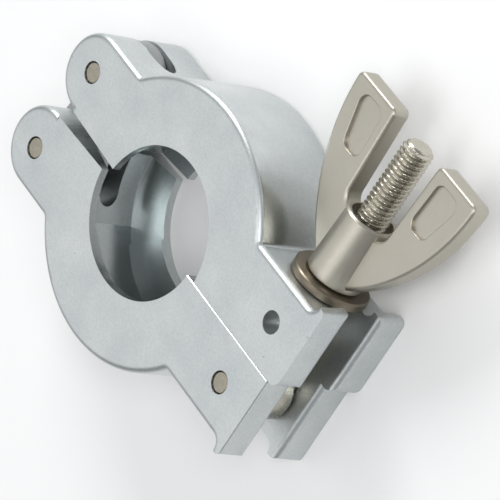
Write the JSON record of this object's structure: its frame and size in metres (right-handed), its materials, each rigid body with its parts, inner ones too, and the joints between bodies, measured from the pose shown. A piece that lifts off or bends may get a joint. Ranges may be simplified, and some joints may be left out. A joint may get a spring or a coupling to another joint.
{
  "type": "hinged vacuum flange clamp",
  "caption": "Hinged clamping ring with a V-groove that squeezes two small vacuum flanges together, closed by a swing bolt and a wing nut.",
  "frame": {"origin": "middle of the ring's opening, half way through its thickness", "axes": "+Z along the bore, +X from the hinge towards the swing bolt, +Y along the seated bolt towards its tip"},
  "size_m": [0.0928, 0.075, 0.02],
  "materials": {
    "jaw_aluminium": "matt die-cast and tumbled",
    "link_steel": "stamped, dull",
    "pin_steel": "cropped ends",
    "bolt_steel": "bright rolled thread",
    "washer_steel": "turned, slightly brown",
    "nut_zinc": "satin nickel plate"
  },
  "bodies": {
    "lower_half": {"lower_jaw": "jaw_aluminium", "lower_hinge_pin": "pin_steel", "bolt_pin": "pin_steel"},
    "link": {"hinge_link": "link_steel"},
    "upper_half": {"upper_jaw": "jaw_aluminium", "upper_hinge_pin": "pin_steel"},
    "bolt": {"swing_bolt": "bolt_steel"},
    "washer": {"washer": "washer_steel"},
    "nut": {"wing_nut": "nut_zinc"}
  },
  "joints": [
    {"name": "link_swing", "type": "hinge", "parent": "lower_half", "child": "link", "pos_m": [-0.0329, -0.00965, 0], "axis": [0, 0, 1], "range_deg": [0, 1]},
    {"name": "jaw_open", "type": "hinge", "parent": "link", "child": "upper_half", "pos_m": [-0.0307, 0.00965, 0], "axis": [0, 0, 1], "range_deg": [0, 4]},
    {"name": "bolt_swing", "type": "hinge", "parent": "lower_half", "child": "bolt", "pos_m": [0.0335, -0.00782, 0], "axis": [0, 0, -1], "range_deg": [0, 35]},
    {"name": "washer_lift", "type": "slide", "parent": "bolt", "child": "washer", "axis": [0, 1, 0], "range_m": [0, 0.023]},
    {"name": "nut_turn", "type": "hinge", "parent": "washer", "child": "nut", "pos_m": [0.0335, 0.02365, 0], "axis": [0, 1, 0], "range_deg": [0, 8280]}
  ],
  "couplings": [
    {"joint": "washer_lift", "follows": "nut_turn", "m_per_rad": 0.00015915},
    {"joint": "bolt_swing", "follows": "nut_turn", "ratio": 0.004227},
    {"joint": "jaw_open", "follows": "nut_turn", "ratio": 0.000483},
    {"joint": "link_swing", "follows": "nut_turn", "ratio": 0.00012077}
  ]
}
